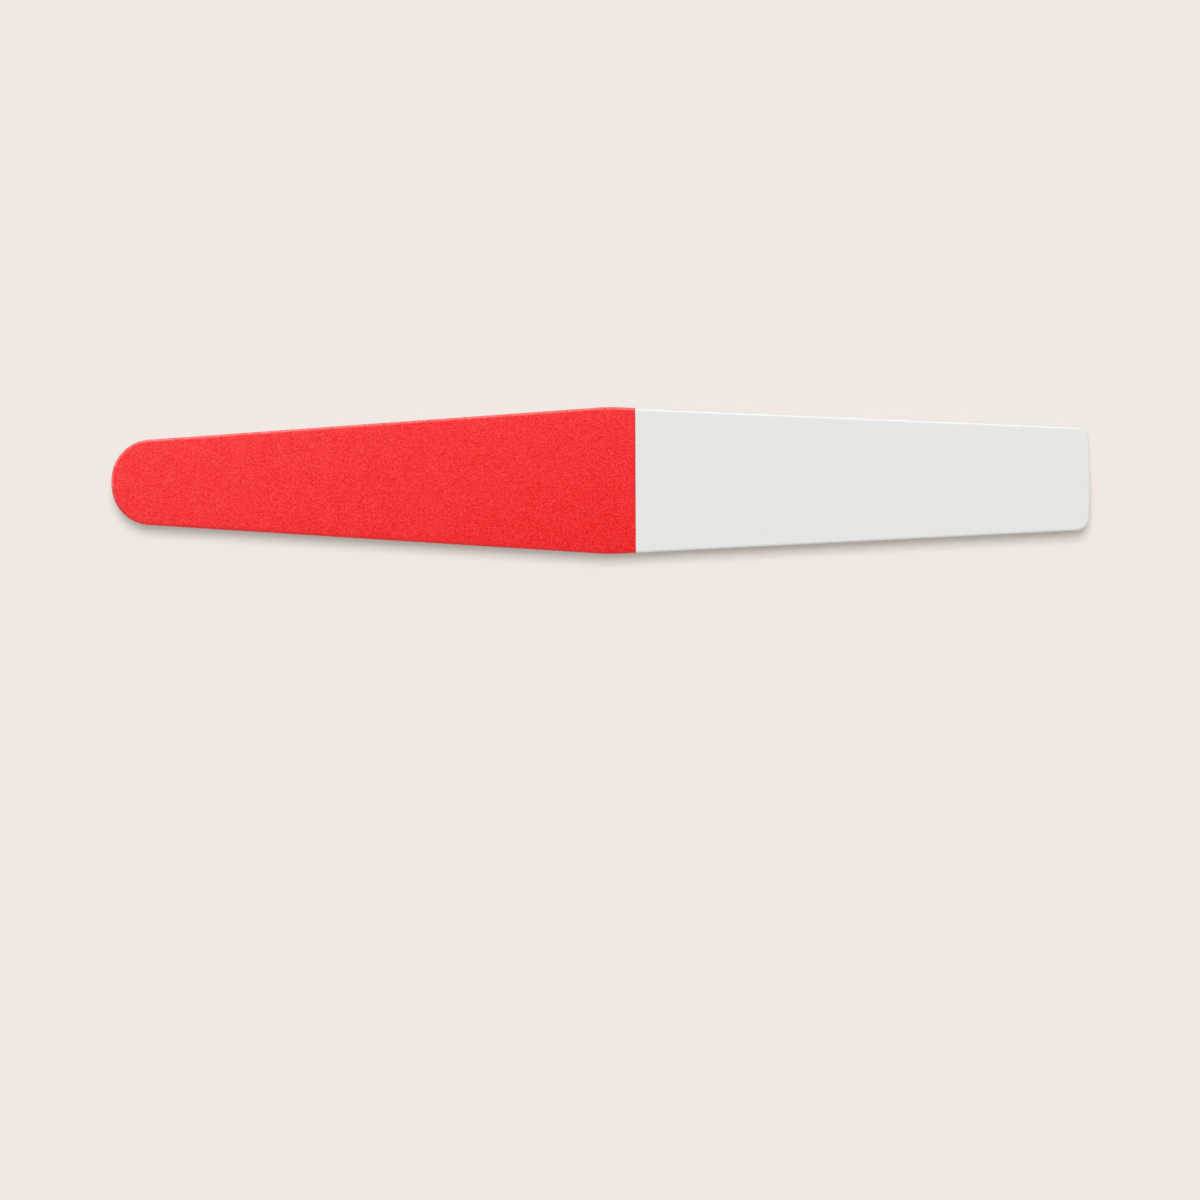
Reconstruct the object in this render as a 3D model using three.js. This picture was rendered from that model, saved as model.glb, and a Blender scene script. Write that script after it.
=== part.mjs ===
// A three-way nail buffer: a slim file, widest near its middle, with a round and a square end.
//
// It is a laminate. A stiff plastic strip runs through the middle, with a foam pad on each side.
// Abrasive sheets cover the pads: a red grit sheet and a smooth white sheet butt together on the
// front, and one grey polishing sheet covers the rear. Each sheet is a coat on a paper backing,
// and films of adhesive bond the stack. One stroke of a steel-rule die cuts all of it, which
// rolls the edges of the sheets into the foam and leaves the foam's cut wall dished.
//
// Millimetres. +X points to the square end and +Z out of the front face. The origin lies on the
// rear face, half way along the buffer.
import * as THREE from 'three';
import { toCreasedNormals } from 'three/addons/utils/BufferGeometryUtils.js';

// The die's outline
const LENGTH = 178;
const APEX_X = 1.5;
const APEX_WIDTH = 26.8; // where the straight flanks would cross
const APEX_RADIUS = 35;
const ROUND_END_WIDTH = 14.6; // between the flanks, level with the tip of the nose
const NOSE_RADIUS = 10.25;
const SHOULDER_RADIUS = 7.25;
const SQUARE_END_WIDTH = 18.65; // between the flanks, level with the middle of the end
const END_BOW_RADIUS = 120;
const CORNER_RADIUS = 2.4;
const SEAM_X = 6.3; // where the red sheet meets the white one

// Thickness of each layer
const COAT = 0.12;
const WHITE_COAT = 0.07;
const BACKING = 0.2;
const SHEET_ADHESIVE = 0.08;
const FOAM = 1.15;
const CORE_ADHESIVE = 0.05;
const CORE = 0.8;

// What the die leaves at the edge
const ROLL_WIDTH = 0.5; // how far in a sheet starts to roll
const ROLL_DROP = 0.3; // how far its edge is pressed into the foam
const FOAM_DISH = 0.12; // how far the foam's wall is drawn in, half way up

// Facets
const CHORD_ERROR = 0.01;
const ROLL_STEPS = 3;
const DISH_STEPS = 4;
const CREASE_ANGLE = THREE.MathUtils.degToRad(35);

const alongAngle = (angle) => new THREE.Vector2(Math.cos(angle), Math.sin(angle));

// A straight flank from the apex to an end: the angle of its outward normal, and its distance
// from the origin along that normal.
function flank(endX, endWidth) {
  const rise = (APEX_WIDTH - endWidth) / 2;
  const run = Math.abs(endX - APEX_X);
  const angle = Math.PI / 2 - Math.sign(endX) * Math.atan2(rise, run);
  const normal = alongAngle(angle);
  const reach = normal.dot(new THREE.Vector2(APEX_X, APEX_WIDTH / 2));
  return { angle, normal, reach };
}

// The small arc that rounds an end arc into a flank: it touches the end arc from inside, and its
// centre is one small radius in from the flank. side is -1 at the square end, +1 at the round end.
function blendArc(endCentre, endRadius, line, radius, side) {
  const spare = endRadius - radius;
  const height = line.reach - radius - line.normal.dot(endCentre);
  const angle = line.angle + side * Math.acos(height / spare);
  const centre = alongAngle(angle).multiplyScalar(spare).add(endCentre);
  return { centre, angle };
}

const squareFlank = flank(LENGTH / 2, SQUARE_END_WIDTH);
const roundFlank = flank(-LENGTH / 2, ROUND_END_WIDTH);

// A station is a place on the outline: a function that gives its point on the outline moved
// inwards by an inset, so that every ring of a layer has the same stations.
function arcStations(centre, radius, from, to, skipFirst = false) {
  const step = 2 * Math.acos(1 - CHORD_ERROR / radius);
  const count = Math.ceil((to - from) / step);
  const stations = [];
  for (let i = skipFirst ? 1 : 0; i <= count; i += 1) {
    const normal = alongAngle(from + ((to - from) * i) / count);
    stations.push((inset) => normal.clone().multiplyScalar(radius - inset).add(centre));
  }
  return stations;
}

function seamStation(inset) {
  const { normal, reach } = squareFlank;
  return new THREE.Vector2(SEAM_X, (reach - inset - normal.x * SEAM_X) / normal.y);
}

function mirrored(stations) {
  return stations.map((station) => (inset) => {
    const point = station(inset);
    return new THREE.Vector2(point.x, -point.y);
  }).reverse();
}

// The upper half of the outline, from the middle of the square end round to the tip of the nose
const bowCentre = new THREE.Vector2(LENGTH / 2 - END_BOW_RADIUS, 0);
const corner = blendArc(bowCentre, END_BOW_RADIUS, squareFlank, CORNER_RADIUS, -1);
const halfTurn = (roundFlank.angle - squareFlank.angle) / 2;
const apexCentre = alongAngle(squareFlank.angle + halfTurn)
  .multiplyScalar(-APEX_RADIUS / Math.cos(halfTurn))
  .add(new THREE.Vector2(APEX_X, APEX_WIDTH / 2));
const noseCentre = new THREE.Vector2(NOSE_RADIUS - LENGTH / 2, 0);
const shoulder = blendArc(noseCentre, NOSE_RADIUS, roundFlank, SHOULDER_RADIUS, 1);

const squareEnd = [
  ...arcStations(bowCentre, END_BOW_RADIUS, 0, corner.angle),
  ...arcStations(corner.centre, CORNER_RADIUS, corner.angle, squareFlank.angle, true),
];
const roundEnd = [
  ...arcStations(apexCentre, APEX_RADIUS, squareFlank.angle, roundFlank.angle),
  ...arcStations(shoulder.centre, SHOULDER_RADIUS, roundFlank.angle, shoulder.angle),
  ...arcStations(noseCentre, NOSE_RADIUS, shoulder.angle, Math.PI, true),
];

// Runs of stations, counter-clockwise: the whole outline, and the two that stop at the seam
const redRun = [seamStation, ...roundEnd, ...mirrored(roundEnd).slice(1), ...mirrored([seamStation])];
const whiteRun = [...mirrored([seamStation]), ...mirrored(squareEnd), ...squareEnd.slice(1), seamStation];
const wholeRun = [...whiteRun, ...redRun.slice(1, -1)];

// Rings across the rolled edge, along an arc that leaves the flat of the sheet without a crease
const rollRadius = (ROLL_WIDTH ** 2 + ROLL_DROP ** 2) / (2 * ROLL_DROP);
const rollAngle = Math.asin(ROLL_WIDTH / rollRadius);
const rollRings = Array.from({ length: ROLL_STEPS + 1 }, (_, i) => {
  const angle = rollAngle * (1 - i / ROLL_STEPS);
  return {
    inset: ROLL_WIDTH - rollRadius * Math.sin(angle),
    drop: rollRadius * (1 - Math.cos(angle)),
  };
});
const flatRings = [{ inset: 0, drop: 0 }];

// The plan of a layer's face: its points, the triangles between them, and the loop of points
// round its cut edge. An open run is closed by a straight cut between its ends.
function planOf(run, closed, rings) {
  const points = rings.flatMap(({ inset, drop }) => run.map((station) => ({ at: station(inset), drop })));
  const count = run.length;
  const spans = closed ? count : count - 1;
  const triangles = [];
  for (let ring = 0; ring + 1 < rings.length; ring += 1) {
    for (let i = 0; i < spans; i += 1) {
      const outer = ring * count + i;
      const outerNext = ring * count + ((i + 1) % count);
      triangles.push([outer, outerNext, outerNext + count], [outer, outerNext + count, outer + count]);
    }
  }
  const innermost = (rings.length - 1) * count;
  const flat = points.slice(innermost).map(({ at }) => at);
  for (const triangle of THREE.ShapeUtils.triangulateShape(flat, [])) {
    triangles.push(triangle.map((i) => innermost + i));
  }
  const loop = run.map((_, i) => i);
  if (!closed) {
    const inner = rings.map((_, ring) => ring * count).slice(1);
    loop.push(...inner.map((start) => start + count - 1), ...inner.reverse());
  }
  return { points, triangles, loop, run };
}

// One layer between two faces. A face is a plan at a height, whose edge rolls up (+1), down (-1)
// or not at all (0). dish is how far the wall between the faces is drawn in, half way up.
function layer(lower, upper, dish = 0) {
  const lay = ({ plan, height, roll }) => plan.points.map(({ at, drop }) => (
    new THREE.Vector3(at.x, at.y, height + roll * drop)
  ));
  const points = [...lay(lower), ...lay(upper)];
  const upperStart = lower.plan.points.length;
  const upperLoop = upper.plan.loop.map((i) => upperStart + i);
  const indices = lower.plan.triangles.flatMap(([a, b, c]) => [a, c, b]);
  indices.push(...upper.plan.triangles.flat().map((i) => upperStart + i));

  const loops = [lower.plan.loop];
  for (let step = 1; dish > 0 && step < DISH_STEPS; step += 1) {
    const share = step / DISH_STEPS;
    const inset = dish * (1 - (2 * share - 1) ** 2);
    const start = points.length;
    lower.plan.run.forEach((station, i) => {
      const { x, y } = station(inset);
      const z = THREE.MathUtils.lerp(points[i].z, points[upperLoop[i]].z, share);
      points.push(new THREE.Vector3(x, y, z));
    });
    loops.push(lower.plan.run.map((_, i) => start + i));
  }
  loops.push(upperLoop);
  for (let level = 0; level + 1 < loops.length; level += 1) {
    const below = loops[level];
    const above = loops[level + 1];
    for (let i = 0; i < below.length; i += 1) {
      const next = (i + 1) % below.length;
      indices.push(below[i], below[next], above[next], below[i], above[next], above[i]);
    }
  }
  const geometry = new THREE.BufferGeometry().setFromPoints(points).setIndex(indices);
  return toCreasedNormals(geometry, CREASE_ANGLE);
}

const finishes = {
  redGrit: { color: 0xf5383b, roughness: 0.85 },
  whiteCoat: { color: 0xe5e6e3, roughness: 0.6 },
  greyCoat: { color: 0x7b736c, roughness: 0.8 },
  backingPaper: { color: 0xd9d4cc, roughness: 0.9 },
  adhesiveFilm: { color: 0xd8cfae, roughness: 0.5 },
  foam: { color: 0xebe8e2, roughness: 0.95 },
  corePlastic: { color: 0xf4f3ef, roughness: 0.45 },
};

const buffer = new THREE.Group();

function addPiece(name, geometry, finish) {
  const material = new THREE.MeshStandardMaterial({ ...finish, metalness: 0 });
  const piece = new THREE.Mesh(geometry, material);
  piece.name = name;
  buffer.add(piece);
}

const wholeRolled = planOf(wholeRun, true, rollRings);
const wholeFlat = planOf(wholeRun, true, flatRings);
const redHalf = planOf(redRun, false, rollRings);
const whiteHalf = planOf(whiteRun, false, rollRings);

// Heights of the bonded faces, from the rear of the buffer to its front
const rearPadRear = COAT + BACKING + SHEET_ADHESIVE;
const rearPadFront = rearPadRear + FOAM;
const coreRear = rearPadFront + CORE_ADHESIVE;
const coreFront = coreRear + CORE;
const frontPadRear = coreFront + CORE_ADHESIVE;
const frontPadFront = frontPadRear + FOAM;

// The core and the films that bond the pads to it lie flat, cut square by the die.
function addFlatLayer(name, rear, front, finish) {
  const lower = { plan: wholeFlat, height: rear, roll: 0 };
  const upper = { plan: wholeFlat, height: front, roll: 0 };
  addPiece(name, layer(lower, upper), finish);
}
addFlatLayer('core_strip', coreRear, coreFront, finishes.corePlastic);
addFlatLayer('front_core_adhesive', coreFront, frontPadRear, finishes.adhesiveFilm);
addFlatLayer('rear_core_adhesive', rearPadFront, coreRear, finishes.adhesiveFilm);

// A pad is flat against the core. Under a sheet its edge is pressed thin, and its wall is dished.
const frontPad = layer(
  { plan: wholeFlat, height: frontPadRear, roll: 0 },
  { plan: wholeRolled, height: frontPadFront, roll: -1 },
  FOAM_DISH,
);
const rearPad = layer(
  { plan: wholeRolled, height: rearPadRear, roll: 1 },
  { plan: wholeFlat, height: rearPadFront, roll: 0 },
  FOAM_DISH,
);
addPiece('front_foam_pad', frontPad, finishes.foam);
addPiece('rear_foam_pad', rearPad, finishes.foam);

// A sheet is laid outwards from its pad: adhesive, backing, coat. outwards is +1 on the front and
// -1 on the rear, and all three layers follow the roll of the pad's edge.
function addSheet(sheet, coatName, plan, padFace, outwards, coat, coatFinish) {
  let inner = padFace;
  for (const [name, thickness, finish] of [
    [`${sheet}_sheet_adhesive`, SHEET_ADHESIVE, finishes.adhesiveFilm],
    [`${sheet}_sheet_backing`, BACKING, finishes.backingPaper],
    [coatName, coat, coatFinish],
  ]) {
    const outer = inner + outwards * thickness;
    const lower = { plan, height: Math.min(inner, outer), roll: -outwards };
    const upper = { plan, height: Math.max(inner, outer), roll: -outwards };
    addPiece(name, layer(lower, upper), finish);
    inner = outer;
  }
}
addSheet('red', 'red_grit_coat', redHalf, frontPadFront, 1, COAT, finishes.redGrit);
addSheet('white', 'white_buffing_coat', whiteHalf, frontPadFront, 1, WHITE_COAT, finishes.whiteCoat);
addSheet('grey', 'grey_polishing_coat', wholeRolled, rearPadRear, -1, COAT, finishes.greyCoat);

export default buffer;
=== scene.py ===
import math

import bpy
import numpy as np
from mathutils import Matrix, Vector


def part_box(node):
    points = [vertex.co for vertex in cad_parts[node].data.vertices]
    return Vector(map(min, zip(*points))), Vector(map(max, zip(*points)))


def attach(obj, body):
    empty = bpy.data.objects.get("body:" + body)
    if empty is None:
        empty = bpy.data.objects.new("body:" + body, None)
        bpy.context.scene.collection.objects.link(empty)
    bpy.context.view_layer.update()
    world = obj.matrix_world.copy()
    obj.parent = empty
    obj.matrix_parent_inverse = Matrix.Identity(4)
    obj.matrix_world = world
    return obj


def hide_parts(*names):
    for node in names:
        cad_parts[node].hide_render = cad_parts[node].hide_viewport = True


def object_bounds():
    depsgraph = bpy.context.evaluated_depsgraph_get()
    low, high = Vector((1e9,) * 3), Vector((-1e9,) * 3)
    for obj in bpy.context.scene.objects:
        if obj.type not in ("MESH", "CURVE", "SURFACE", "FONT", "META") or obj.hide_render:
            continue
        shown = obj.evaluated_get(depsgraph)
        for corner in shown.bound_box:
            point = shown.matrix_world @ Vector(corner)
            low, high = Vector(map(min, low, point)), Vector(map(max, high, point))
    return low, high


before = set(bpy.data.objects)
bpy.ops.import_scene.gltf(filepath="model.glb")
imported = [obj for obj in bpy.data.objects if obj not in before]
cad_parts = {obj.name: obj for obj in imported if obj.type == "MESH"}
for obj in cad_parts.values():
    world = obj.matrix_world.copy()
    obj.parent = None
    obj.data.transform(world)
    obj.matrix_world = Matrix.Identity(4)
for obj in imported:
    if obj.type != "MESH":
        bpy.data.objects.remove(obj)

cad_low, cad_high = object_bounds()

# Core strip
# Stiff white polystyrene that keeps the buffer straight, in the middle of the stack. One stroke of
# a steel-rule die shears it, and all that is bonded to it, to one outline: arcs joined by straight
# flanks. The cut leaves fine upright score lines on its wall.
MM = 0.001
APEX_X = 1.5 * MM
APEX_WIDTH = 26.8 * MM
APEX_RADIUS = 35 * MM
ROUND_END_WIDTH = 14.6 * MM
NOSE_RADIUS = 10.25 * MM
SHOULDER_RADIUS = 7.25 * MM
SQUARE_END_WIDTH = 18.65 * MM
END_BOW_RADIUS = 120 * MM
CORNER_RADIUS = 2.4 * MM
SEAM_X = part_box("red_grit_coat")[1].x
SEAM_GAP = 0.05 * MM  # the hairline between the two front sheets
ARC_STEP = 0.2 * MM
FLAT_INSET = 0.6 * MM  # a row of points inside the edge of each flat face
CORE_BURR = 0.03 * MM  # how far the sheared corners of the core are rounded
SHARP_ANGLE = math.radians(24)


def along(angle):
    return np.array((math.cos(angle), math.sin(angle)))


def flank(end_x, end_width):
    """A straight flank from the apex to an end: the angle of its normal, and its reach along it."""
    rise = (APEX_WIDTH - end_width) / 2
    angle = math.pi / 2 - math.copysign(math.atan2(rise, abs(end_x - APEX_X)), end_x)
    return angle, along(angle) @ (APEX_X, APEX_WIDTH / 2)


def blend_arc(end_centre, end_radius, line, radius, side):
    """Centre and first angle of the arc that rounds an end arc into a flank."""
    angle, reach = line
    spare = end_radius - radius
    first = angle + side * math.acos((reach - radius - along(angle) @ end_centre) / spare)
    return end_centre + spare * along(first), first


def arc(centre, radius, start, end):
    """Stations along an arc: a point of the outline, then the way it moves as the outline shrinks."""
    count = max(2, math.ceil(radius * (end - start) / ARC_STEP))
    angles = np.linspace(start, end, count + 1)
    normals = np.column_stack((np.cos(angles), np.sin(angles)))
    return np.hstack((centre + radius * normals, -normals))


def mirrored(stations):
    return (stations * (1, -1, 1, -1))[::-1]


square_flank = flank(cad_high.x, SQUARE_END_WIDTH)
round_flank = flank(cad_low.x, ROUND_END_WIDTH)
bow_centre = np.array((cad_high.x - END_BOW_RADIUS, 0))
nose_centre = np.array((cad_low.x + NOSE_RADIUS, 0))
corner_centre, corner_start = blend_arc(bow_centre, END_BOW_RADIUS, square_flank, CORNER_RADIUS, -1)
shoulder_centre, shoulder_end = blend_arc(nose_centre, NOSE_RADIUS, round_flank, SHOULDER_RADIUS, 1)
half_turn = (round_flank[0] - square_flank[0]) / 2
apex_centre = np.array((APEX_X, APEX_WIDTH / 2))
apex_centre = apex_centre - APEX_RADIUS / math.cos(half_turn) * along(square_flank[0] + half_turn)
square_end = np.vstack((
    arc(bow_centre, END_BOW_RADIUS, 0, corner_start),
    arc(corner_centre, CORNER_RADIUS, corner_start, square_flank[0])[1:],
))
round_end = np.vstack((
    arc(apex_centre, APEX_RADIUS, square_flank[0], round_flank[0]),
    arc(shoulder_centre, SHOULDER_RADIUS, round_flank[0], shoulder_end),
    arc(nose_centre, NOSE_RADIUS, shoulder_end, math.pi)[1:],
))


def flank_station(x):
    """The station where a cut straight across the buffer meets the flank of the square end."""
    normal = along(square_flank[0])
    return np.array(((x, (square_flank[1] - normal[0] * x) / normal[1], 0, -1 / normal[1]),))


seam = flank_station(SEAM_X)
white_seam = flank_station(SEAM_X + SEAM_GAP)
# Each run goes round counter-clockwise. The whole outline starts at the middle of the square end,
# and the two front sheets start and end at the seam.
whole_half = np.vstack((square_end, seam, round_end))
WHOLE_RUN = np.vstack((whole_half, mirrored(whole_half)[1:-1]))
RED_RUN = np.vstack((seam, round_end, mirrored(round_end)[1:], mirrored(seam)))
WHITE_RUN = np.vstack((mirrored(white_seam), mirrored(square_end), square_end[1:], white_seam))


def swept(name, run, profile, upper_rows=1):
    """A layer of the stack: the profile of its edge swept along a run, between two faces. The profile
    goes from the upper face round the cut edge to the lower face, in pairs of inset and height, each
    one number or one for every station. Faces are ruled across the buffer, between mirrored stations,
    the upper one in as many rows as asked."""
    count = len(run)
    closed = abs(run[0, 1]) < ARC_STEP / 2
    insets = [np.broadcast_to(inset, count) for inset, _ in profile]
    points = [
        np.column_stack((run[:, :2] + inset[:, None] * run[:, 2:], np.broadcast_to(height, count)))
        for inset, (_, height) in zip(insets, profile)
    ]
    ring = np.arange(count)
    following = np.roll(ring, -1) if closed else ring[1:]
    here = ring if closed else ring[:-1]
    faces = []
    for level in range(len(profile) - 1):
        inner, outer = level * count, (level + 1) * count
        band = np.column_stack((outer + here, outer + following, inner + following, inner + here))
        faces += band.tolist()
    middle = count // 2
    near = ring[: middle + 1]
    far = (-near) % count if closed else count - 1 - near
    made = len(profile) * count
    for level, rows, flip in ((0, upper_rows, False), (len(profile) - 1, 1, True)):
        start = level * count
        columns = np.linspace(points[level][near], points[level][far], rows + 1, axis=1)
        index = np.empty((len(near), rows + 1), int)
        index[:, 0], index[:, -1] = start + near, start + far
        inside = near != far
        fresh = columns[inside, 1:-1].reshape(-1, 3)
        index[inside, 1:-1] = made + np.arange(len(fresh)).reshape(inside.sum(), rows - 1)
        index[~inside, 1:-1] = (start + near[~inside])[:, None]
        points.append(fresh)
        insets.append(np.full(len(fresh), np.max(profile[level][0])))
        made += len(fresh)
        quads = np.stack((index[:-1, :-1], index[1:, :-1], index[1:, 1:], index[:-1, 1:]), axis=-1)
        for quad in quads.reshape(-1, 4).tolist():
            face = list(dict.fromkeys(quad))
            faces.append(face[::-1] if flip else face)
        if not flip:
            seam_row = index[0, 1:-1].tolist()
    if not closed:
        levels = np.arange(len(profile)) * count
        faces.append([*(levels + count - 1).tolist(), *levels[::-1].tolist(), *seam_row])
    mesh = bpy.data.meshes.new(name)
    mesh.from_pydata(np.vstack(points).tolist(), [], faces)
    from_edge = mesh.attributes.new("from_edge", "FLOAT", "POINT")
    from_edge.data.foreach_set("value", np.concatenate(insets).astype(np.float32))
    mesh.shade_smooth()
    mesh.set_sharp_from_angle(angle=SHARP_ANGLE)
    piece = bpy.data.objects.new(name, mesh)
    bpy.context.collection.objects.link(piece)
    return piece


def seat(piece, node, finish):
    """Puts a piece in the stack in place of its CAD node, with its finish."""
    piece.data.materials.clear()
    piece.data.materials.append(finish)
    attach(piece, "root")
    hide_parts(node)


class Wire:
    """A socket of a material's nodes. Sums and products of wires and numbers add Math nodes."""

    def __init__(self, tree, socket):
        self.tree = tree
        self.socket = socket

    def node(self, kind, sockets, output=0, **settings):
        """Adds any node to this wire's tree: its type, its sockets' values or wires, its settings."""
        made = self.tree.nodes.new("ShaderNode" + kind)
        for setting, value in settings.items():
            setattr(made, setting, value)
        for socket, value in sockets.items():
            if isinstance(value, Wire):
                self.tree.links.new(value.socket, made.inputs[socket])
            else:
                made.inputs[socket].default_value = value
        return Wire(self.tree, made.outputs[output])

    def maths(self, operation, first, second):
        return self.node("Math", {0: first, 1: second}, operation=operation)

    def __add__(self, other):
        return self.maths("ADD", self, other)

    def __sub__(self, other):
        return self.maths("SUBTRACT", self, other)

    def __rsub__(self, other):
        return self.maths("SUBTRACT", other, self)

    def __mul__(self, other):
        return self.maths("MULTIPLY", self, other)

    __radd__ = __add__
    __rmul__ = __mul__

    def between(self, low, high):
        """0 below low, 1 above high, and smooth in between."""
        sockets = {"Value": self, "From Min": low, "From Max": high}
        return self.node("MapRange", sockets, interpolation_type="SMOOTHSTEP")

    def mix(self, at_zero, at_one):
        return self.node("Mix", {0: self, 6: at_zero, 7: at_one}, 2, data_type="RGBA")

    def noise(self, size, detail=2.0, stretch=(1, 1, 1)):
        """Cloudy noise on this wire's places, with grains of a size, stretched along X, Y or Z."""
        scale = [1 / (size * along_axis) for along_axis in stretch]
        place = self.node("VectorMath", {0: self, 1: scale}, operation="MULTIPLY")
        return self.node("TexNoise", {"Vector": place, "Scale": 1.0, "Detail": detail})

    def attribute(self, name):
        return self.node("Attribute", {}, "Fac", attribute_name=name)

    def bump(self, depth):
        """A normal for a surface that this wire raises by up to a depth."""
        return self.node("Bump", {"Height": self, "Distance": depth}, "Normal")


def new_finish(name, **constants):
    """A material, a wire to its Object coordinates, and a function that links its shader's sockets."""
    finish = bpy.data.materials.new(name)
    finish.use_nodes = True
    tree = finish.node_tree
    shader = tree.nodes["Principled BSDF"]
    for socket, value in constants.items():
        shader.inputs[socket.replace("_", " ")].default_value = value
    place = Wire(tree, tree.nodes.new("ShaderNodeTexCoord").outputs["Object"])

    def link(socket, wire):
        tree.links.new(wire.socket, shader.inputs[socket])

    return finish, place, link


CORE_WHITE = (0.86, 0.85, 0.82, 1)
CORE_SHADE = (0.74, 0.73, 0.70, 1)
CORE_CLOUD_SIZE = 6 * MM
SCORE_WIDTH = 0.12 * MM
SCORE_STRETCH = 14
SCORE_DEPTH = 0.02 * MM
core_finish, place, link = new_finish("core_polystyrene", IOR=1.59, Roughness=0.42)
scores = place.noise(SCORE_WIDTH, 3, stretch=(1, 1, SCORE_STRETCH))
core_tone = (scores * 0.5 + place.noise(CORE_CLOUD_SIZE) * 0.3).between(0.25, 0.6)
link("Base Color", core_tone.mix(CORE_SHADE, CORE_WHITE))
link("Normal", scores.bump(SCORE_DEPTH))

core_low, core_high = (corner.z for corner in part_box("core_strip"))
core = swept("stiff_core", WHOLE_RUN, (
    (FLAT_INSET, core_high),
    (CORE_BURR, core_high),
    (0, core_high - CORE_BURR),
    (0, core_low + CORE_BURR),
    (CORE_BURR, core_low),
    (FLAT_INSET, core_low),
))
seat(core, "core_strip", core_finish)

# Core adhesive films
# Double-sided acrylic film, which bonds a foam pad to each side of the core. Only its cut edge
# shows, as a thin glossy amber line.
FILM_AMBER = (0.60, 0.50, 0.30, 1)
FILM_PALE = (0.72, 0.66, 0.50, 1)
FILM_CLOUD_SIZE = 0.6 * MM
FILM_RIPPLE_SIZE = 0.1 * MM
FILM_RIPPLE_DEPTH = 0.01 * MM
film_finish, place, link = new_finish("adhesive_film", Roughness=0.28)
link("Base Color", place.noise(FILM_CLOUD_SIZE, 3).between(0.35, 0.65).mix(FILM_AMBER, FILM_PALE))
link("Normal", place.noise(FILM_RIPPLE_SIZE).bump(FILM_RIPPLE_DEPTH))

for side in ("front", "rear"):
    film_low, film_high = (corner.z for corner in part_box(f"{side}_core_adhesive"))
    film = swept(f"{side}_core_film", WHOLE_RUN, (
        (FLAT_INSET, film_high),
        (0, film_high),
        (0, film_low),
        (FLAT_INSET, film_low),
    ))
    seat(film, f"{side}_core_adhesive", film_finish)

# Foam pads
# Soft closed-cell foam on both sides of the core, which lets the sheets follow a nail. The die
# presses its edge thin under the sheet, and the cut wall springs back dished, with cells cut open.
ROLL_WIDTH = 0.5 * MM
ROLL_DROP = 0.3 * MM
DIP_WIDTH = 2.2 * MM
RED_DIP = 0.11 * MM  # a gentle slope inside the roll, sized so that the red edge's light line falls right
FOAM_DISH = 0.12 * MM
FOAM_STEP = 0.1 * MM
FOAM_ROWS = 11
CELL_SIZE = 0.22 * MM
CELL_DEPTH = 0.05 * MM
CELL_SLOPE = 0.28  # how far into a cell its pit goes on deepening, as a share of the cell's size
HIDDEN_ROLL_STEPS = 4


def closer(run, gap):
    """A run with stations added along its straight stretches, at most a gap apart."""
    closing = np.vstack((run, run[:1])) if run is WHOLE_RUN else run
    steps = [np.linalg.norm(there[:2] - here[:2]) / gap for here, there in zip(closing, closing[1:])]
    parts = [
        np.linspace(here, there, max(1, math.ceil(step)), endpoint=False)
        for here, there, step in zip(closing, closing[1:], steps)
    ]
    return np.vstack(parts if run is WHOLE_RUN else (*parts, run[-1:]))


def rolled(height, outwards, steps, dip=0, dip_steps=3):
    """The edge of a face, from its flat to the cut: a gentle dip, then a roll. outwards is +1 on the
    front, -1 on the rear."""
    start = math.atan2(2 * dip, DIP_WIDTH - ROLL_WIDTH)
    end = 2 * math.atan2(ROLL_DROP - dip, ROLL_WIDTH) - start
    radius = ROLL_WIDTH / (math.sin(end) - math.sin(start))
    share = np.linspace(0, 1, dip_steps, endpoint=False)
    angles = np.linspace(start, end, steps + 1)
    insets = (DIP_WIDTH + (ROLL_WIDTH - DIP_WIDTH) * share,
              ROLL_WIDTH - radius * (np.sin(angles) - math.sin(start)))
    drops = (dip * share**2, dip + radius * (math.cos(start) - np.cos(angles)))
    return list(zip(np.concatenate(insets), height - outwards * np.concatenate(drops)))


cells = bpy.data.node_groups.new("foam_cells", "GeometryNodeTree")
cells.interface.new_socket("Geometry", in_out="OUTPUT", socket_type="NodeSocketGeometry")
foam_inputs = {
    name: cells.interface.new_socket(name, in_out="INPUT", socket_type="NodeSocket" + kind).identifier
    for name, kind in (("Geometry", "Geometry"), ("Cells per metre", "Float"), ("Depth", "Float"),
                       ("Finish", "Material"))
}


def tree_node(tree, kind, sockets, **settings):
    """Adds a node to a geometry tree. A socket's value is a constant or another node's socket."""
    made = tree.nodes.new(kind)
    for setting, value in settings.items():
        setattr(made, setting, value)
    for socket, value in sockets.items():
        if isinstance(value, bpy.types.NodeSocket):
            tree.links.new(value, made.inputs[socket])
        else:
            made.inputs[socket].default_value = value
    return made


given = tree_node(cells, "NodeGroupInput", {})
cell_edge = tree_node(cells, "ShaderNodeTexVoronoi", {"Scale": given.outputs["Cells per metre"]},
                      feature="DISTANCE_TO_EDGE")
pit = tree_node(cells, "ShaderNodeMapRange", {
    "Value": cell_edge.outputs["Distance"], "From Max": CELL_SLOPE}, interpolation_type="SMOOTHSTEP")
on_wall = tree_node(cells, "GeometryNodeInputNamedAttribute", {"Name": "wall"}, data_type="FLOAT")
pit_here = tree_node(cells, "ShaderNodeMath", {0: pit.outputs["Result"], 1: on_wall.outputs["Attribute"]},
                     operation="MULTIPLY")
pit_depth = tree_node(cells, "ShaderNodeMath", {0: pit_here.outputs[0], 1: given.outputs["Depth"]},
                      operation="MULTIPLY")
outward = tree_node(cells, "GeometryNodeInputNormal", {})
inward = tree_node(cells, "ShaderNodeVectorMath", {0: outward.outputs[0], 1: (-1, -1, -1)},
                   operation="MULTIPLY")
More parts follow.
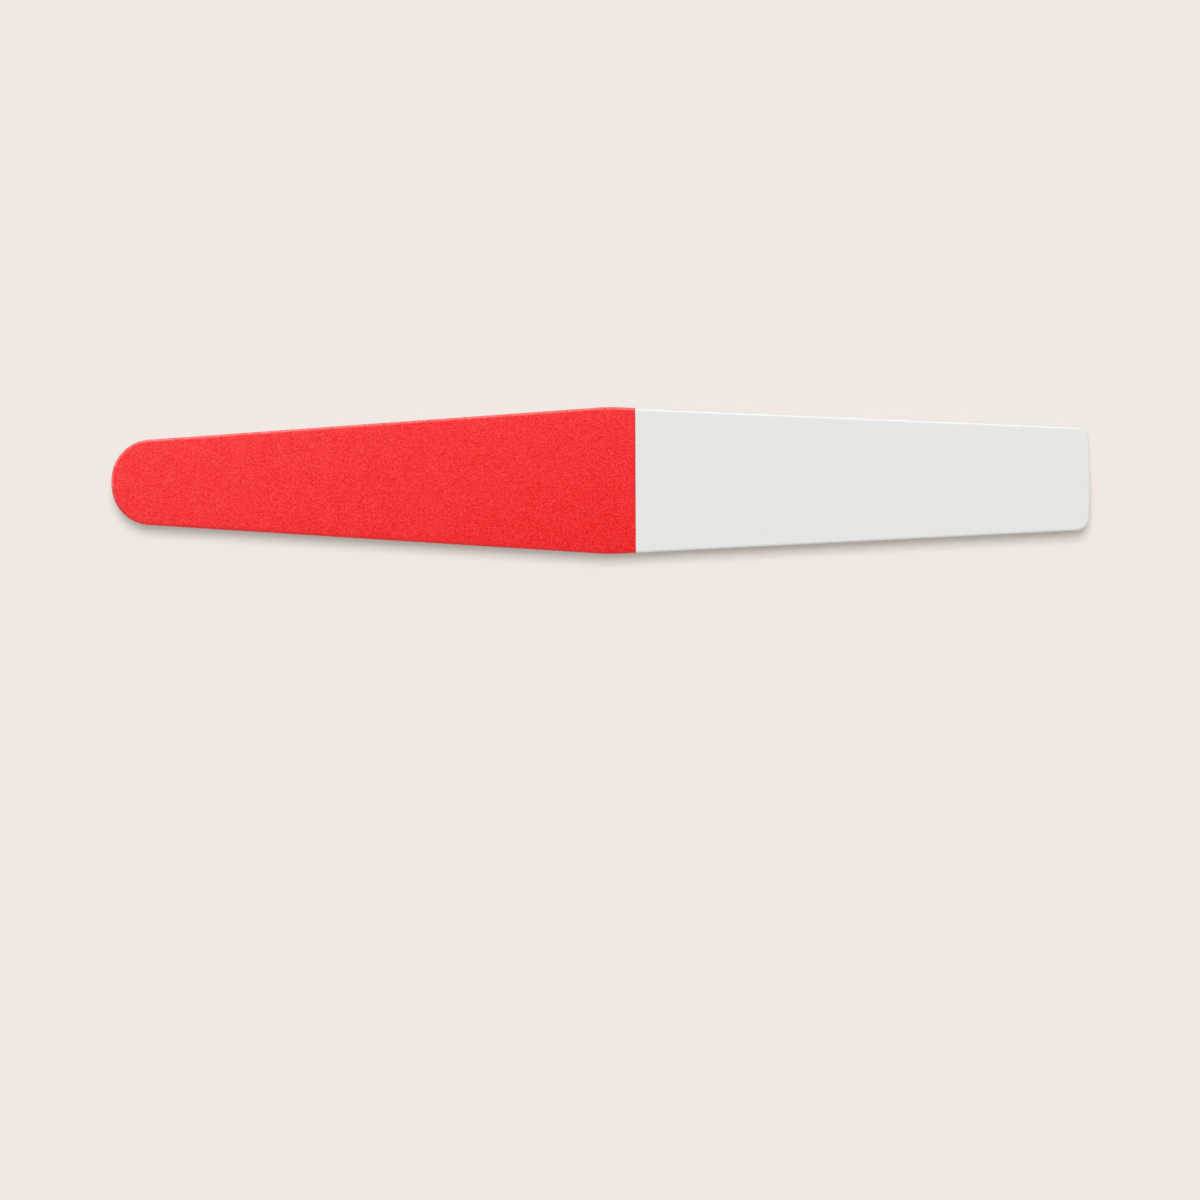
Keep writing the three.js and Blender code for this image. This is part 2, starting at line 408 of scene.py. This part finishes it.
move = tree_node(cells, "ShaderNodeVectorMath", {0: inward.outputs[0], "Scale": pit_depth.outputs[0]},
                 operation="SCALE")
# The pit share is kept for the finish, which paints the pits darker as painted shade.
marked = tree_node(cells, "GeometryNodeStoreNamedAttribute", {
    "Geometry": given.outputs["Geometry"], "Name": "pit", "Value": pit_here.outputs[0]},
    data_type="FLOAT", domain="POINT")
moved = tree_node(cells, "GeometryNodeSetPosition", {
    "Geometry": marked.outputs["Geometry"], "Offset": move.outputs[0]})
real = tree_node(cells, "GeometryNodeRealizeInstances", {"Geometry": moved.outputs["Geometry"]})
dressed = tree_node(cells, "GeometryNodeSetMaterial", {
    "Geometry": real.outputs["Geometry"], "Material": given.outputs["Finish"]})
tree_node(cells, "NodeGroupOutput", {"Geometry": dressed.outputs["Geometry"]})


def made_real(piece, tree, inputs, values):
    """Runs a geometry tree on a piece and keeps the result as the piece's plain mesh."""
    modifier = piece.modifiers.new(tree.name, "NODES")
    modifier.node_group = tree
    for name, value in values.items():
        modifier[inputs[name]] = value
    result = bpy.data.meshes.new_from_object(piece.evaluated_get(bpy.context.evaluated_depsgraph_get()))
    piece.modifiers.remove(modifier)
    piece.data = result


FOAM_PALE = (0.84, 0.82, 0.785, 1)
FOAM_SHADE = (0.72, 0.70, 0.665, 1)
FOAM_PIT_PAINTED_SHADE = (0.58, 0.56, 0.53, 1)
FOAM_CLOUD_SIZE = 0.5 * MM
FOAM_SKIN_SIZE = 0.05 * MM
FOAM_SKIN_DEPTH = 0.01 * MM
foam_finish, place, link = new_finish("closed_cell_foam", Roughness=0.9, Specular_IOR_Level=0.25)
foam_tone = place.noise(FOAM_CLOUD_SIZE, 3).between(0.3, 0.7).mix(FOAM_SHADE, FOAM_PALE)
# The open cells are painted darker: painted shade in the pits.
link("Base Color", place.attribute("pit").mix(foam_tone, FOAM_PIT_PAINTED_SHADE))
link("Normal", place.noise(FOAM_SKIN_SIZE, 3).bump(FOAM_SKIN_DEPTH))

for side, outwards in (("front", 1), ("rear", -1)):
    pad_low, pad_high = (corner.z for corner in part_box(f"{side}_foam_pad"))
    covered, bonded = (pad_high, pad_low) if outwards > 0 else (pad_low, pad_high)
    run = closer(WHOLE_RUN, FOAM_STEP)
    edge = rolled(covered, outwards, HIDDEN_ROLL_STEPS)
    if outwards > 0:
        under_red = run[:, 0] < SEAM_X
        red_edge = rolled(covered, outwards, HIDDEN_ROLL_STEPS, RED_DIP)
        edge = [
            (np.where(under_red, red_inset, inset), np.where(under_red, red_height, height))
            for (inset, height), (red_inset, red_height) in zip(edge, red_edge)
        ]
    down_wall = np.linspace(0, 1, FOAM_ROWS + 1)[1:-1]
    dish = FOAM_DISH * (1 - (2 * down_wall - 1) ** 2)
    cut = covered - outwards * ROLL_DROP
    heights = cut + down_wall * (bonded - cut)
    profile = [*edge, *zip(dish, heights), (0, bonded), (FLAT_INSET, bonded)]
    pad = swept(f"{side}_pad", run, profile if outwards > 0 else profile[::-1])
    # The pits are as deep as they get on the middle half of the wall, and fade out above and below.
    wall_rows = np.zeros(len(profile))
    wall_rows[len(edge):-2] = np.minimum(1, 4 * np.minimum(down_wall, 1 - down_wall))
    if outwards < 0:
        wall_rows = wall_rows[::-1]
    wall = pad.data.attributes.new("wall", "FLOAT", "POINT")
    wall_values = np.zeros(len(pad.data.vertices), np.float32)
    wall_values[: len(profile) * len(run)] = np.repeat(wall_rows, len(run))
    wall.data.foreach_set("value", wall_values)
    made_real(pad, cells, foam_inputs, {
        "Cells per metre": 1 / CELL_SIZE, "Depth": CELL_DEPTH, "Finish": foam_finish})
    seat(pad, f"{side}_foam_pad", foam_finish)

# Sheet films and backings
# Each abrasive sheet is made on a pale paper backing and bonded to its pad by a film of adhesive.
# Both follow the rolled edge, and their cut edges show as fine pale lines below the coat.
ROLL_STEPS = 8
PAPER_PALE = (0.80, 0.77, 0.72, 1)
PAPER_SHADE = (0.62, 0.58, 0.52, 1)
FIBRE_WIDTH = 0.08 * MM
FIBRE_STRETCH = 5
FIBRE_DEPTH = 0.015 * MM
paper_finish, place, link = new_finish("backing_paper", Roughness=0.85, Specular_IOR_Level=0.3)
fibres = place.noise(FIBRE_WIDTH, 4, stretch=(FIBRE_STRETCH, FIBRE_STRETCH, 1))
link("Base Color", fibres.between(0.3, 0.65).mix(PAPER_SHADE, PAPER_PALE))
link("Normal", fibres.bump(FIBRE_DEPTH))


def sheet_levels(node, outwards):
    """Heights of the flat of a sheet's layer, without the roll of its edge: upper, then lower."""
    low, high = (corner.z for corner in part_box(node))
    return (high, low + ROLL_DROP) if outwards > 0 else (high - ROLL_DROP, low)


def sheet_layer(name, run, node, outwards, dip=0):
    upper, lower = sheet_levels(node, outwards)
    return swept(name, run, [
        *rolled(upper, outwards, ROLL_STEPS, dip), *rolled(lower, outwards, ROLL_STEPS, dip)[::-1]])


for colour, run, outwards, dip in (
        ("red", RED_RUN, 1, RED_DIP), ("white", WHITE_RUN, 1, 0), ("grey", WHOLE_RUN, -1, 0)):
    film = sheet_layer(f"{colour}_sheet_film", run, f"{colour}_sheet_adhesive", outwards, dip)
    seat(film, f"{colour}_sheet_adhesive", film_finish)
    paper = sheet_layer(f"{colour}_sheet_paper", run, f"{colour}_sheet_backing", outwards, dip)
    seat(paper, f"{colour}_sheet_backing", paper_finish)

# Grey polishing coat
# A very fine grey abrasive in a soft binder, over the whole rear. It is mottled and matte, and painted paler
# along its rolled edge: a painted highlight.
GREY_LIGHT = (0.222, 0.188, 0.166, 1)
GREY_DARK = (0.144, 0.120, 0.105, 1)
GREY_FLECK = (0.34, 0.31, 0.28, 1)
GREY_EDGE_PAINTED_HIGHLIGHT = (0.36, 0.34, 0.31, 1)
GREY_GRAIN_SIZE = 0.26 * MM
GREY_GRAIN_DEPTH = 0.008 * MM
GREY_CLOUD_SIZE = 1.6 * MM
GREY_FLECK_SIZE = 0.19 * MM
GREY_EDGE = (0.2 * MM, 0.5 * MM)  # the paler edge is full up to the first inset and ends at the second
grey_finish, place, link = new_finish("grey_polishing_coat", Roughness=0.7, Coat_Roughness=0.3,
                                      Specular_IOR_Level=0.15)
grey_grain = place.noise(GREY_GRAIN_SIZE, 2)
grey_mottle = (grey_grain * 0.85 + place.noise(GREY_CLOUD_SIZE, 2) * 0.15).between(0.3, 0.7)
grey_fleck = place.noise(GREY_FLECK_SIZE, 0).between(0.7, 0.8) * 0.6
grey_face = grey_fleck.mix(grey_mottle.mix(GREY_DARK, GREY_LIGHT), GREY_FLECK)
grey_edge = 1 - place.attribute("from_edge").between(*GREY_EDGE)
# painted highlight: the rolled edge is painted paler
link("Base Color", (grey_edge * 0.4).mix(grey_face, GREY_EDGE_PAINTED_HIGHLIGHT))
link("Coat Weight", grey_edge * 0.8)
link("Normal", grey_grain.bump(GREY_GRAIN_DEPTH))
grey = sheet_layer("grey_polishing_face", WHOLE_RUN, "grey_polishing_coat", -1)
seat(grey, "grey_polishing_coat", grey_finish)

# White buffing coat
# A smooth satin film over the square half of the front, butted against the red sheet. It is taken
# to be a little thinner than the red coat, so it lies lower. Its rolled edge catches the light.
WHITE_FACE = (0.802, 0.806, 0.785, 1)
WHITE_CLOUD = (0.792, 0.797, 0.775, 1)
WHITE_RIM = (0.80, 0.80, 0.78, 1)
WHITE_CLOUD_SIZE = 5 * MM
WHITE_TEXTURE_SIZE = 0.14 * MM
WHITE_TEXTURE_DEPTH = 0.003 * MM
WHITE_EDGE = (0.3 * MM, 0.6 * MM)
white_finish, place, link = new_finish("white_buffing_coat", Roughness=0.72, Coat_Roughness=0.32,
                                       Specular_IOR_Level=0.12)
white_cloud = place.noise(WHITE_CLOUD_SIZE, 3).between(0.3, 0.7)
white_edge = 1 - place.attribute("from_edge").between(*WHITE_EDGE)
link("Base Color", (white_edge * 0.6).mix(white_cloud.mix(WHITE_CLOUD, WHITE_FACE), WHITE_RIM))
link("Coat Weight", white_edge * 0.6)
link("Normal", place.noise(WHITE_TEXTURE_SIZE, 3).bump(WHITE_TEXTURE_DEPTH))
white = sheet_layer("white_buffing_face", WHITE_RUN, "white_buffing_coat", 1)
seat(white, "white_buffing_coat", white_finish)

# Red grit coat
# Angular grains of abrasive, bonded to the round half of the front under a red size coat. The
# packed grains make a rough relief, which dies out at the cut, and the larger ones stand proud.
GRIT_STEP = 0.2 * MM
GRIT_ROWS = 112
GRIT_DIP_STEPS = 9
GRIT_BUMP = 0.38 * MM
GRIT_RELIEF = 0.09 * MM
RELIEF_START = 0.05 * MM
RELIEF_FULL = 0.2 * MM
GRAIN_SMALL = 0.09 * MM
GRAIN_LARGE = 0.24 * MM
GRAINS_PER_AREA = 10.0 / MM**2
GRIT_SEED = 7
GRAIN_FACES = 8

relief = bpy.data.node_groups.new("grit_relief", "GeometryNodeTree")
relief.interface.new_socket("Geometry", in_out="OUTPUT", socket_type="NodeSocketGeometry")
relief_inputs = {
    name: relief.interface.new_socket(name, in_out="INPUT", socket_type="NodeSocket" + kind).identifier
    for name, kind in (("Geometry", "Geometry"), ("Bumps per metre", "Float"), ("Height", "Float"),
                       ("Finish", "Material"))
}
given = tree_node(relief, "NodeGroupInput", {})
bumps = tree_node(relief, "ShaderNodeTexNoise", {"Scale": given.outputs["Bumps per metre"], "Detail": 1.0})
raised = tree_node(relief, "ShaderNodeMath", {0: bumps.outputs[0], 1: 0.5}, operation="SUBTRACT")
edge_inset = tree_node(relief, "GeometryNodeInputNamedAttribute", {"Name": "from_edge"}, data_type="FLOAT")
inside = tree_node(relief, "ShaderNodeMapRange", {
    "Value": edge_inset.outputs["Attribute"], "From Min": RELIEF_START, "From Max": RELIEF_FULL})
outward = tree_node(relief, "GeometryNodeInputNormal", {})
upright = tree_node(relief, "ShaderNodeSeparateXYZ", {0: outward.outputs[0]})
on_top = tree_node(relief, "ShaderNodeMapRange", {
    "Value": upright.outputs["Z"], "From Min": 0.4, "From Max": 0.7})
inside_top = tree_node(relief, "ShaderNodeMath", {0: inside.outputs[0], 1: on_top.outputs[0]},
                       operation="MULTIPLY")
raised_here = tree_node(relief, "ShaderNodeMath", {0: raised.outputs[0], 1: inside_top.outputs[0]},
                        operation="MULTIPLY")
lift = tree_node(relief, "ShaderNodeMath", {0: raised_here.outputs[0], 1: given.outputs["Height"]},
                 operation="MULTIPLY")
move = tree_node(relief, "ShaderNodeVectorMath", {0: outward.outputs[0], "Scale": lift.outputs[0]},
                 operation="SCALE")
moved = tree_node(relief, "GeometryNodeSetPosition", {
    "Geometry": given.outputs["Geometry"], "Offset": move.outputs[0]})
real = tree_node(relief, "GeometryNodeRealizeInstances", {"Geometry": moved.outputs["Geometry"]})
dressed = tree_node(relief, "GeometryNodeSetMaterial", {
    "Geometry": real.outputs["Geometry"], "Material": given.outputs["Finish"]})
tree_node(relief, "NodeGroupOutput", {"Geometry": dressed.outputs["Geometry"]})

grit = bpy.data.node_groups.new("red_grit", "GeometryNodeTree")
grit.interface.new_socket("Geometry", in_out="OUTPUT", socket_type="NodeSocketGeometry")
grit_inputs = {
    name: grit.interface.new_socket(name, in_out="INPUT", socket_type="NodeSocket" + kind).identifier
    for name, kind in (("Geometry", "Geometry"), ("Grains per area", "Float"), ("Smallest", "Float"),
                       ("Largest", "Float"), ("Seed", "Int"), ("Finish", "Material"))
}
given = tree_node(grit, "NodeGroupInput", {})
cube = tree_node(grit, "GeometryNodeMeshCube", {})
crystal = tree_node(grit, "GeometryNodeDualMesh", {"Mesh": cube.outputs["Mesh"]})
facing = tree_node(grit, "GeometryNodeInputNormal", {})
height = tree_node(grit, "ShaderNodeSeparateXYZ", {0: facing.outputs[0]})
upward = tree_node(grit, "FunctionNodeCompare", {0: height.outputs["Z"], 1: 0.45},
                   data_type="FLOAT", operation="GREATER_THAN")
scatter = tree_node(grit, "GeometryNodeDistributePointsOnFaces", {
    "Mesh": given.outputs["Geometry"], "Selection": upward.outputs[0],
    "Density": given.outputs["Grains per area"], "Seed": given.outputs["Seed"]})
turn = tree_node(grit, "FunctionNodeRandomValue", {
    0: (0, 0, 0), 1: (math.tau, math.tau, math.tau), "Seed": given.outputs["Seed"]},
    data_type="FLOAT_VECTOR")
size = tree_node(grit, "FunctionNodeRandomValue", {
    0: given.outputs["Smallest"], 1: given.outputs["Largest"], "Seed": given.outputs["Seed"]},
    data_type="FLOAT_VECTOR")
grains = tree_node(grit, "GeometryNodeInstanceOnPoints", {
    "Points": scatter.outputs["Points"], "Instance": crystal.outputs["Dual Mesh"],
    "Rotation": turn.outputs[0], "Scale": size.outputs[0]})
any_tone = tree_node(grit, "FunctionNodeRandomValue", {"Seed": given.outputs["Seed"]}, data_type="FLOAT")
toned = tree_node(grit, "GeometryNodeStoreNamedAttribute", {
    "Geometry": grains.outputs["Instances"], "Name": "tone", "Value": any_tone.outputs[1]},
    data_type="FLOAT", domain="INSTANCE")
real = tree_node(grit, "GeometryNodeRealizeInstances", {"Geometry": toned.outputs["Geometry"]})
dressed = tree_node(grit, "GeometryNodeSetMaterial", {
    "Geometry": real.outputs["Geometry"], "Material": given.outputs["Finish"]})
tree_node(grit, "NodeGroupOutput", {"Geometry": dressed.outputs["Geometry"]})

RED_LIGHT = (0.945, 0.037, 0.044, 1)
RED_DEEP = (0.770, 0.0, 0.0, 1)
# The red is painted paler towards the round end and one side: painted light and sheen, from the side of the
# lamps. The cause isn't known, and it may be the light there.
PAINTED_LIGHT_PALE = (1.0, 0.078, 0.083, 1)
PAINTED_LIGHT_DEEP = (0.905, 0.012, 0.014, 1)
PAINTED_LIGHT_SLANT = 0.27
PAINTED_LIGHT_START = -14.6 * MM
PAINTED_LIGHT_SPAN = 43.6 * MM
RED_GRAIN = (0.985, 0.066, 0.071, 1)
RED_GLINT = (1.0, 0.15, 0.155, 1)
# The red is painted darker along its rolled edge: painted shade of the roll.
RED_EDGE_PAINTED_SHADE = (0.68, 0.012, 0.014, 1)
RED_GRAIN_SIZE = 0.27 * MM
RED_CLOUD_SIZE = 1.5 * MM
RED_TEXTURE_SIZE = 0.1 * MM
RED_TEXTURE_DEPTH = 0.01 * MM
RED_EDGE = (0.25 * MM, 0.6 * MM)
RED_GLOSS_EDGE = (0.2 * MM, 0.58 * MM)
EDGE_GLOSS = 0.82
red_finish, place, link = new_finish("red_grit_coat", Roughness=0.8, Coat_Roughness=0.3,
                                     Specular_IOR_Level=0.1)
red_grain = place.noise(RED_GRAIN_SIZE, 1)
red_tone = (red_grain * 0.85 + place.noise(RED_CLOUD_SIZE, 2) * 0.15).between(0.3, 0.7)
lengthwise = place.node("SeparateXYZ", {0: place}, "X")
across = place.node("SeparateXYZ", {0: place}, "Y")
# painted light and sheen, growing towards the round end and one side
painted_light_drift = (across - lengthwise * PAINTED_LIGHT_SLANT - PAINTED_LIGHT_START) * (1 / PAINTED_LIGHT_SPAN)
red_face = painted_light_drift.mix(red_tone.mix(RED_DEEP, RED_LIGHT), red_tone.mix(PAINTED_LIGHT_DEEP, PAINTED_LIGHT_PALE))
red_inset = place.attribute("from_edge")
# painted shade along the rolled edge of the red
red_edge_painted_shade = 1 - red_inset.between(*RED_EDGE)
link("Base Color", (red_edge_painted_shade * 0.85).mix(red_face, RED_EDGE_PAINTED_SHADE))
link("Coat Weight", EDGE_GLOSS - red_inset.between(*RED_GLOSS_EDGE) * EDGE_GLOSS)
link("Normal", place.noise(RED_TEXTURE_SIZE, 2).bump(RED_TEXTURE_DEPTH))
red_run = closer(RED_RUN, GRIT_STEP)
upper, lower = sheet_levels("red_grit_coat", 1)
red = swept("red_grit_face", red_run, [
    *rolled(upper, 1, ROLL_STEPS, RED_DIP, GRIT_DIP_STEPS),
    *rolled(lower, 1, ROLL_STEPS, RED_DIP)[::-1]], GRIT_ROWS)
made_real(red, relief, relief_inputs, {
    "Bumps per metre": 1 / GRIT_BUMP, "Height": GRIT_RELIEF, "Finish": red_finish})
red.data.set_sharp_from_angle(angle=SHARP_ANGLE)
seat(red, "red_grit_coat", red_finish)

grain_finish, place, link = new_finish("red_grit_grains", Roughness=0.5, Specular_IOR_Level=0.2)
grain_tone = place.attribute("tone")
link("Base Color", grain_tone.between(0.86, 0.96).mix(grain_tone.mix(RED_DEEP, RED_GRAIN), RED_GLINT))
proud = bpy.data.objects.new("red_grit_grains", red.data.copy())
bpy.context.collection.objects.link(proud)
made_real(proud, grit, grit_inputs, {
    "Grains per area": GRAINS_PER_AREA, "Smallest": GRAIN_SMALL, "Largest": GRAIN_LARGE,
    "Seed": GRIT_SEED, "Finish": grain_finish})
# Each grain has one tone, so all its faces share one cell of its map.
grain_side = math.ceil(math.sqrt(len(proud.data.polygons) / GRAIN_FACES))
grain_number = np.arange(len(proud.data.polygons)) // GRAIN_FACES
grain_cell = np.column_stack((grain_number % grain_side, grain_number // grain_side))
grain_map = (grain_cell[:, None] + ((0.2, 0.2), (0.8, 0.2), (0.5, 0.8))) / grain_side
proud.data.uv_layers.new(name="OFBake").data.foreach_set("uv", grain_map.astype(np.float32).ravel())
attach(proud, "root")

# Floor
# A plain pale table top, lit evenly, which the buffer lies on with its grey face down.
FLOOR_COLOUR = (0.893, 0.828, 0.781, 1)
FLOOR_SIDE = 6.0
FLOOR_GAP = 0.02 * MM
FLOOR_SEEN = (0.871, 0.807, 0.761, 1)
FLOOR_GLOW = 0.22  # the share of that colour that the camera sees whatever the shade, close by
GLOW_BEHIND = 0.85  # the same behind the buffer, where no shadow falls
UNDER_REACH = 7 * MM  # the share changes within this far of the middle, where the buffer hides the floor
SHADE_REACH = 12 * MM  # how far from the buffer the floor keeps its full shade
PLAIN_REACH = 70 * MM  # from here on the camera sees one plain colour


def background_rays(wire):
    """1 on the rays that show the background: from the camera, off gloss and through glass."""
    kinds = ("Camera", "Glossy", "Transmission")
    seen, mirrored_back, through = (wire.node("LightPath", {}, f"Is {kind} Ray") for kind in kinds)
    return (seen + mirrored_back + through).between(0, 1)


floor_mesh = bpy.data.meshes.new("floor")
reach = FLOOR_SIDE / 2
floor_mesh.from_pydata(
    [(x, y, -FLOOR_GAP) for x, y in ((-reach, -reach), (reach, -reach), (reach, reach), (-reach, reach))],
    [], [(0, 1, 2, 3)])
floor = bpy.data.objects.new("floor", floor_mesh)
bpy.context.collection.objects.link(floor)
floor_finish, place, link = new_finish("pale_floor", Base_Color=FLOOR_COLOUR, Roughness=0.9,
                                       Specular_IOR_Level=0.0)
sideways = place.node("VectorMath", {0: place}, operation="ABSOLUTE")
beyond = place.node("VectorMath", {0: sideways, 1: cad_high}, operation="SUBTRACT")
apart = place.node("VectorMath", {0: beyond, 1: (0, 0, 0)}, operation="MAXIMUM")
plain = place.node("VectorMath", {0: apart}, "Value", operation="LENGTH").between(SHADE_REACH, PLAIN_REACH)
behind = place.node("SeparateXYZ", {0: place}, "Y").between(-UNDER_REACH, UNDER_REACH)
shade_share = (1 - plain) * (1 - FLOOR_GLOW - behind * (GLOW_BEHIND - FLOOR_GLOW))
shaded = Wire(place.tree, place.tree.nodes["Principled BSDF"].outputs[0])
glow = place.node("Emission", {"Color": FLOOR_SEEN, "Strength": 1.0})
glow_share = background_rays(place) * (1 - shade_share)
surface = place.node("MixShader", {0: glow_share, 1: shaded, 2: glow})
place.tree.links.new(surface.socket, place.tree.nodes["Material Output"].inputs["Surface"])
floor_mesh.materials.append(floor_finish)

# Light and camera
# One soft box above and behind, with even light from all round. Three low lights behind and to the
# left act on gloss alone and draw the light line along the edges. The camera looks straight down.
FILL_LEVEL = 0.42
FILL_COLOUR = (0.995, 1.0, 0.975, 1)
KEY_LEVEL = 0.615
KEY_COLOUR = (0.985, 0.982, 1.0)
KEY_DISTANCE = 2.4
KEY_SIZE = 1.2
KEY_ELEVATION = math.radians(68.7)
EDGE_LIGHT_RADIANCE = 8.0
EDGE_LIGHT_DISTANCE = 1.2
EDGE_LIGHT_SIZE = (0.9, 0.36)
EDGE_LIGHT_ELEVATION = math.radians(38)
EDGE_LIGHT_TURNS = (0, math.radians(38), math.radians(76))
LENS = 150.0
SENSOR = 36.0
FRAME_WIDTH = 218.25 * MM
VIEW_CENTRE = (-0.22 * MM, -21.725 * MM)
CAMERA_ROLL = math.radians(-0.236)

world = bpy.data.worlds.new("studio")
bpy.context.scene.world = world
world.use_nodes = True
sky = Wire(world.node_tree, world.node_tree.nodes["Background"].outputs[0])
world.node_tree.nodes["Background"].inputs["Strength"].default_value = FILL_LEVEL
world.node_tree.nodes["Background"].inputs["Color"].default_value = FILL_COLOUR
backdrop = sky.node("Background", {"Color": FLOOR_SEEN, "Strength": 1.0})
outside = sky.node("MixShader", {0: background_rays(sky), 1: sky, 2: backdrop})
world.node_tree.links.new(outside.socket, world.node_tree.nodes["World Output"].inputs["Surface"])


def lamp(name, size, distance, elevation, turn, power):
    """A rectangular lamp that faces the buffer from behind it, turned to the left of it."""
    data = bpy.data.lights.new(name, "AREA")
    data.shape = "RECTANGLE"
    data.size, data.size_y = size
    data.energy = power
    made = bpy.data.objects.new(name, data)
    across = math.cos(elevation) * distance
    made.location = (-math.sin(turn) * across, math.cos(turn) * across, math.sin(elevation) * distance)
    made.rotation_euler = (math.pi / 2 - elevation, 0, turn + math.pi)
    bpy.context.collection.objects.link(made)
    return made


# The power of the soft box gives a level surface under it its share of a plain light level.
soft_box = lamp("soft_box", (KEY_SIZE, KEY_SIZE), KEY_DISTANCE, KEY_ELEVATION, 0,
                KEY_LEVEL * (math.pi * KEY_DISTANCE) ** 2 / math.sin(KEY_ELEVATION))
soft_box.data.color = KEY_COLOUR
for number, turn in enumerate(EDGE_LIGHT_TURNS, 1):
    edge_light = lamp(f"edge_light_{number}", EDGE_LIGHT_SIZE, EDGE_LIGHT_DISTANCE,
                      EDGE_LIGHT_ELEVATION, turn, EDGE_LIGHT_RADIANCE * math.pi * math.prod(EDGE_LIGHT_SIZE))
    edge_light.visible_diffuse = False

camera_data = bpy.data.cameras.new("camera")
camera_data.lens = LENS
camera_data.sensor_width = SENSOR
camera = bpy.data.objects.new("camera", camera_data)
rim_height = cad_high.z - ROLL_DROP
camera.location = (*VIEW_CENTRE, rim_height + FRAME_WIDTH / SENSOR * LENS)
camera.rotation_euler = (0, 0, CAMERA_ROLL)
bpy.context.collection.objects.link(camera)
bpy.context.scene.camera = camera
bpy.context.scene.view_settings.view_transform = "Standard"
